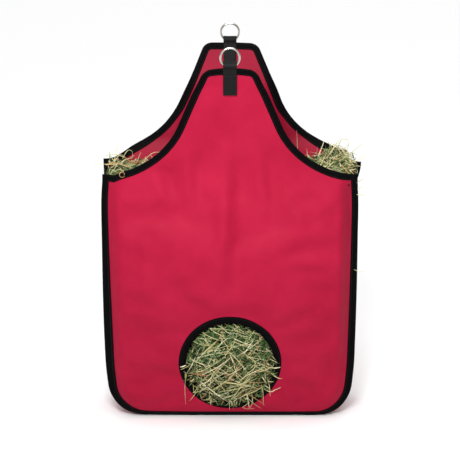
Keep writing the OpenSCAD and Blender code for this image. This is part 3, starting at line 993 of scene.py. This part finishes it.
def hole_dome(rho):
    """How far the hay stands out of the feed hole at a distance from its centre."""
    return 15 * (1 - (rho / 96) ** 2) - 13 * smooth_step(rho, 74, 90)


def dome_point(x, v, depth):
    """A point of the hay in the feed hole: depth is measured in from the dome's skin."""
    rho = np.hypot(x, v - HOLE_Z)
    base = shell(np.stack([x, v], -1), True)
    base[..., 1] -= hole_dome(rho) - depth
    return base


def feed_hole_hay():
    """The hay in the feed hole: layers of stalks and leaf, loose ones over the tape, and a dark bed."""
    rng = np.random.default_rng(21)
    parts = []
    for name, count, deep, long, wide, flatness, mat, gathered_share in (
        ("under", 300, (12, 22), (22, 60), (1.6, 3.0), 0.3, hay_stalks, 0),
        ("over", 400, (1, 13), (14, 44), (1.4, 2.6), 0.35, hay_stalks, 0.3),
        ("leaf", 1150, (-3, 10), (7, 22), (1.6, 3.2), 0.25, hay_leaf, 0.45),
        ("stems", 120, (-4, 2), (26, 90), (1.4, 2.3), 0.8, hay_straw, 0.2),
    ):
        leaf = name == "leaf"
        r = HOLE_HAY_R * np.sqrt(rng.uniform(0, 1, count))
        a = rng.uniform(-math.pi, math.pi, count)
        # More of the leaf gathers in the upper half, and more of the stalks in the lower one.
        gathered = rng.uniform(0, 1, count) < gathered_share
        a = np.where(gathered, np.abs(a) * (1 if leaf else -1), a)
        height = HOLE_Z + r * np.sin(a) * UPRIGHT
        middle = np.stack([r * np.cos(a), height, rng.uniform(*deep, count)], 1)
        if name == "stems":
            slope = rng.choice([-0.55, 0.7], count) + rng.normal(0, 0.4, count)
        else:
            slope = rng.uniform(0, math.pi, count)
        way = np.stack([np.cos(slope), np.sin(slope), rng.normal(0, 0.5 if leaf else 0.15, count)], 1)
        lengths = rng.uniform(*long, count)
        paths = wavy(rng, middle, way, lengths, 0.4 if leaf else 0.1, 5 if leaf else 7)
        rho = np.hypot(paths[..., 0], paths[..., 1] - HOLE_Z)
        pull = np.minimum(1, SQUEEZED_R / np.maximum(rho, 1e-6))
        paths[..., 0] *= pull
        paths[..., 1] = HOLE_Z + (paths[..., 1] - HOLE_Z) * pull
        placed = dome_point(paths[..., 0], paths[..., 1], paths[..., 2])
        parts.append(stalk_mesh(f"hole_hay_{name}", placed, rng.uniform(*wide, count), flatness, mat))
    # Stalks that have worked out over the lower edge of the hole: (x, v, height over the cloth) along each.
    loose = [
        [(-82, 108, 0), (-86, 98, 4), (-89, 84, 6), (-90, 66, 5), (-90, 50, 4), (-90, 34, 4)],
        [(-42, 62, 4), (-41, 50, 7), (-40, 42, 6), (-39, 33, 4)],
        [(-3, 60, 4), (-2, 46, 8), (-1, 34, 6), (-1, 22, 4)],
        [(60, 132, 2), (38, 104, 14), (20, 78, 13), (4, 52, 11), (-8, 34, 7)],
        [(34, 66, 6), (36, 50, 8), (38, 36, 6), (40, 24, 4)],
        [(30, 60, 6), (38, 48, 8), (50, 36, 6), (64, 25, 4)],
        [(44, 62, 6), (46, 48, 8), (45, 36, 6), (41, 26, 4)],
        [(62, 80, 6), (66, 66, 8), (67, 50, 6), (68, 33, 4)],
        [(74, 92, 4), (79, 76, 7), (80, 64, 5), (81, 53, 4)],
        [(72, 66, 3), (82, 63, 5), (91, 68, 5), (101, 73, 4)],
        [(14, 84, 4), (28, 68, 10), (46, 54, 9), (60, 42, 6), (71, 33, 4)],
        [(40, 40, 6), (30, 32, 6), (24, 28, 5), (34, 24, 5), (50, 25, 4)],
        [(-62, 70, 4), (-70, 60, 7), (-75, 52, 6), (-79, 46, 5), (-83, 42, 4)],
        [(80, 104, 2), (88, 98, 5), (94, 94, 5), (99, 92, 4), (103, 93, 4)],
        [(-96, 112, 3), (-88, 117, 5), (-80, 122, 4), (-70, 128, 2)],
    ]
    # Short pieces that lie over the inner half of the tape, most of them along the bottom.
    named, spilled = len(loose), 120
    for _ in range(spilled):
        a = math.radians(rng.normal(270, 48))
        middle = np.array([math.cos(a), math.sin(a) * UPRIGHT]) * rng.uniform(82, SQUEEZED_R) + [0, HOLE_Z]
        b = a + rng.normal(0, 0.9)
        way = np.array([math.cos(b), math.sin(b)]) * rng.uniform(5, 10)
        lift = rng.uniform(2.5, 7)
        crown = lift + rng.uniform(0, 2)
        loose.append([(*(middle - way), lift + 1), (*middle, crown), (*(middle + way), lift - 1)])
    paths = []
    for stalk in loose:
        flat = through(stalk, 9, 1)
        paths.append(shell(flat[:, :2], True) + outward(flat[:, :2], True) * flat[:, 2:])
    widths = rng.uniform(1.4, 2.0, named)
    parts.append(stalk_mesh("hole_hay_loose", paths[:named], widths, 0.7, hay_straw))
    widths = rng.uniform(1.5, 2.8, spilled)
    parts.append(stalk_mesh("hole_hay_spill", paths[named:], widths, 0.4, hay_stalks))
    # Seen only between the stalks, a lumpy bed of chaff that reaches behind the tape.
    ring, spoke, bed_r = 14, 40, 98
    r = np.linspace(0, bed_r, ring)[1:]
    a = np.linspace(0, 2 * math.pi, spoke, endpoint=False)
    x = np.concatenate([[0], (r[:, None] * np.cos(a)).ravel()])
    v = HOLE_Z + np.concatenate([[0], (r[:, None] * np.sin(a)).ravel()])
    bed = dome_point(x, v, 25 + rng.uniform(-2.5, 2.5, len(x)))
    faces = [[0, 1 + k, 1 + (k + 1) % spoke] for k in range(spoke)]
    faces += [list(f + 1) for f in grid_faces(ring - 1, spoke, closed_columns=True)]
    parts.append(finish_mesh("hole_bed", mesh_of("hole_bed", bed, faces), hay_shade))
    return joined("feed_hole_hay_stalks", parts)


hole_hay = feed_hole_hay()

HEAP_X, HEAP_Y = 232, 62
BED_DEPTH = 20


def heap_top(x, y):
    """Height of the hay at the bag's mouth."""
    sides = 7 * smooth_step(x, 140, 200) - 3 * smooth_step(-x, 120, 190)
    edge = 8 * smooth_step(np.abs(x), 214, 240) + 4 * smooth_step(np.abs(y), 50, 68)
    mound = 15 * np.exp(-((x - 199) / 22) ** 2 - ((y - 40) / 26) ** 2)
    mound = mound + 5 * np.exp(-((x - 220) / 18) ** 2 - ((y - 5) / 30) ** 2)
    return SHOULDER_Z - 3 + sides - edge + mound + 2.6 * lumps(x, y * 1.7, 12)


def heap_hay(name, x_range, counts, seed):
    """Hay heaped in part of the mouth. A heap at a side also spills over that side's tape."""
    rng = np.random.default_rng(seed)
    end = max(x_range, key=abs)
    parts = []
    for count, deep, long, wide, flatness, mat, tilt, kind in (
        (counts[0], (8, 20), (28, 70), (1.5, 3.0), 0.3, hay_stalks, 0.10, "under"),
        (counts[0], (-4, 9), (16, 48), (1.2, 2.4), 0.35, hay_stalks, 0.35, "over"),
        (counts[1], (-4, 10), (7, 20), (1.6, 3.0), 0.25, hay_leaf, 0.60, "leaf"),
        (counts[2], (-8, 2), (24, 56), (1.1, 2.0), 0.8, hay_straw, 0.40, "stems"),
    ):
        x = rng.uniform(*x_range, count)
        y = rng.uniform(-HEAP_Y, HEAP_Y, count)
        slope = rng.uniform(0, 2 * math.pi, count)
        way = np.stack([np.cos(slope), np.sin(slope) * 0.8, rng.normal(0.05, tilt, count)], 1)
        middle = np.stack([x, y, np.zeros(count)], 1)
        paths = wavy(rng, middle, way, rng.uniform(*long, count), 0.4 if kind == "leaf" else 0.16,
                     5 if kind == "leaf" else 7)
        if kind != "under" and abs(end) == HEAP_X:
            lip = rng.uniform(0, 1, count) < 0.07
            paths[lip] += [[[end, 0, 9]]] - np.stack([x, 0 * x, 0 * x], 1)[lip][:, None]
            paths[lip, :, 0] += rng.uniform(-12, 8, count)[lip][:, None]
        limit_x = HALF_W - (17 if kind == "under" else 10 if end < 0 else 2)
        limit_y = HALF_D - (18 if kind == "under" else 12)
        paths[..., 0] = np.clip(paths[..., 0], -limit_x, limit_x)
        paths[..., 1] = limit_y * np.tanh(paths[..., 1] / limit_y * 1.15) / math.tanh(1.15)
        paths[..., 2] += heap_top(paths[..., 0], paths[..., 1]) - rng.uniform(*deep, count)[:, None]
        parts.append(stalk_mesh(f"{name}_{kind}", paths, rng.uniform(*wide, count), flatness, mat))
    rows, columns = 36, 22
    gx = np.linspace(x_range[0] - 8, x_range[1] + 8, rows)
    gy = np.linspace(-HEAP_Y - 3, HEAP_Y + 3, columns)
    px, py = np.meshgrid(np.clip(gx, 18 - HALF_W, HALF_W - 18), gy, indexing="ij")
    bed = np.stack([px, py, heap_top(px, py) - BED_DEPTH + rng.uniform(-2, 2, px.shape)], -1).reshape(-1, 3)
    bed = mesh_of(f"{name}_bed", bed, grid_faces(rows, columns)[:, ::-1])
    parts.append(finish_mesh(f"{name}_bed", bed, hay_shade))
    return parts


def free_stalks(name, stalks, seed, mat, wide):
    """Single stalks through given points (x, y, z)."""
    rng = np.random.default_rng(seed)
    paths = [through(stalk, 11, 2) for stalk in stalks]
    return stalk_mesh(name, paths, rng.uniform(*wide, len(paths)), 0.6, mat)


left_loose = free_stalks("left_loose", [
    [(-222, -20, 500), (-218, -24, 522), (-214, -25, 540), (-211, -26, 557)],
    [(-206, -34, 506), (-228, -38, 507), (-249, -40, 508), (-264, -42, 502)],
    [(-214, -24, 498), (-222, -28, 512), (-231, -30, 530)],
    [(-186, -30, 506), (-200, -32, 520), (-214, -34, 532)],
    [(-206, 0, 508), (-200, 0, 520), (-195, 0, 526), (-188, 0, 525), (-186, 0, 518), (-187, 0, 508)],
    [(-180, 10, 496), (-176, 10, 506), (-171, 9, 519)],
    [(-166, 0, 498), (-163, 0, 506), (-161, 0, 513)],
    [(-150, -6, 496), (-146, -8, 504), (-140, -10, 509)],
    [(-205, 40, 500), (-224, 44, 506), (-240, 46, 502), (-252, 48, 494)],
    [(-192, -50, 508), (-182, -58, 502), (-174, -64, 494)],
    [(-210, -50, 504), (-206, -66, 507), (-204, -78, 503)],
    [(-236, -20, 500), (-226, -30, 508), (-210, -40, 509), (-192, -46, 503)],
], 31, hay_straw, (1.4, 2.2))
# One stalk curled nearly shut, in front of the left shoulder's tape.
curl_t = np.linspace(0, 2 * math.pi * 0.93, 11)
curled = np.stack([-203 + 5.0 * np.cos(curl_t), np.full(11, -79.5), 498 + 5.2 * np.sin(curl_t)], 1)
left_curl = stalk_mesh("left_curl", [curled], [1.9], 0.7, hay_straw)
right_loose = free_stalks("right_loose", [
    [(131, 30, 500), (130, 29, 528), (128, 28, 558)],
    [(168, -20, 510), (154, -26, 515), (147, -27, 521), (146, -28, 535)],
    [(186, 10, 505), (197, 8, 527), (205, 6, 541), (213, 4, 547), (224, 2, 548), (231, 0, 543), (228, 1, 535),
     (220, 2, 525), (206, 5, 513)],
    [(205, 0, 500), (226, -2, 514), (242, -4, 529), (255, -5, 541)],
    [(228, 8, 498), (246, 6, 502), (258, 5, 511), (267, 4, 519)],
    [(222, 20, 503), (226, 18, 520), (229, 16, 537)],
    [(200, 24, 505), (208, 22, 525), (214, 20, 541)],
    [(186, 14, 505), (190, 12, 520), (193, 10, 536)],
    [(170, 38, 500), (178, 40, 520), (184, 42, 538)],
    [(214, -20, 500), (236, -30, 505), (250, -34, 500), (255, -28, 510)],
    [(190, -56, 508), (212, -60, 503), (232, -58, 508), (246, -50, 506)],
    [(150, -30, 508), (172, -48, 505), (198, -60, 500), (224, -62, 505)],
    [(214, 44, 505), (236, 48, 508), (250, 50, 500)],
    [(240, -64, 478), (247, -68, 484), (256, -72, 489)],
    [(241, -64, 466), (247, -68, 469), (252, -72, 474)],
    [(240, -64, 455), (248, -68, 455), (257, -71, 456)],
    [(238, -66, 306), (246, -70, 302), (255, -72, 304)],
], 32, hay_straw, (1.3, 2.0))

# The counts are for each layer of blades, for leaf and for stems.
left_heap = heap_hay("left_heap", (-HEAP_X, -118), (165, 270, 52), 41)
left_hay = joined("left_shoulder_hay", left_heap + [left_loose, left_curl])
right_heap = heap_hay("right_heap", (118, HEAP_X), (190, 340, 66), 42)
right_hay = joined("right_shoulder_hay", right_heap + [right_loose])
middle_hay = joined("middle_hay", heap_hay("middle_heap", (-124, 124), (380, 620, 80), 43))

# ---- bodies, and for each piece its slot name and the CAD parts it stands for, which are hidden ----
for piece in (gusset, hole_tape, hole_stitches, left_mouth, right_mouth, left_mouth_stitches,
              right_mouth_stitches, hole_hay, left_hay, right_hay, middle_hay):
    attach(piece, "bag")
for piece in (front_tab, front_tab_rows):
    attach(piece, "front_neck")
for piece in (rear_tab, rear_tab_rows):
    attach(piece, "rear_neck")
for side_name, side, pieces in (
    ("front", -1, (front_cloth, front_tape, front_stitches)),
    ("rear", 1, (rear_cloth, rear_tape, rear_stitches)),
):
    for piece in pieces:
        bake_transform(piece)

for piece, slot, nodes in (
    (front_cloth, "bag_cloth", ("front_panel", "front_neck_panel")),
    (rear_cloth, "bag_cloth", ("rear_panel", "rear_neck_panel")),
    (gusset, "bag_cloth", ("gusset",)),
    (front_tape, "binding_tape", ("front_seam_binding", "front_neck_binding")),
    (rear_tape, "binding_tape", ("rear_seam_binding", "rear_neck_binding")),
    (left_mouth, "binding_tape", ("left_mouth_binding",)),
    (right_mouth, "binding_tape", ("right_mouth_binding",)),
    (hole_tape, "binding_tape", ("feed_hole_binding",)),
    (front_stitches, "thread", ("front_seam_stitching", "front_neck_stitching")),
    (rear_stitches, "thread", ("rear_seam_stitching", "rear_neck_stitching")),
    (left_mouth_stitches, "thread", ("left_mouth_stitching",)),
    (right_mouth_stitches, "thread", ("right_mouth_stitching",)),
    (hole_stitches, "thread", ("feed_hole_stitching",)),
    (front_tab, "webbing", ("front_ring_tab",)),
    (rear_tab, "webbing", ("rear_ring_tab",)),
    (front_tab_rows, "thread", ("front_tab_stitching",)),
    (rear_tab_rows, "thread", ("rear_tab_stitching",)),
    (hole_hay, "hay", ("feed_hole_hay",)),
    (left_hay, "hay", ("left_hay_tuft",)),
    (right_hay, "hay", ("right_hay_tuft",)),
    (middle_hay, "hay", ("hay_load",)),
):
    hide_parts(*nodes)

for ring in ("front_ring", "rear_ring"):
    for material_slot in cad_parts[ring].material_slots:
        material_slot.material = nickel

# ---- the cut area of a cloth panel ----
cut = polygon_area(panel_edge(SEAM_DEPTH, CLOTH_STEP)) * MM * MM

# ---- floor ----
HALF_FLOOR = 12000
floor_corners = [(x * HALF_FLOOR, y * HALF_FLOOR, 0) for x, y in ((-1, -1), (1, -1), (1, 1), (-1, 1))]
floor = finish_mesh("floor", mesh_of("floor", floor_corners, [(0, 1, 2, 3)]), floor_paper)
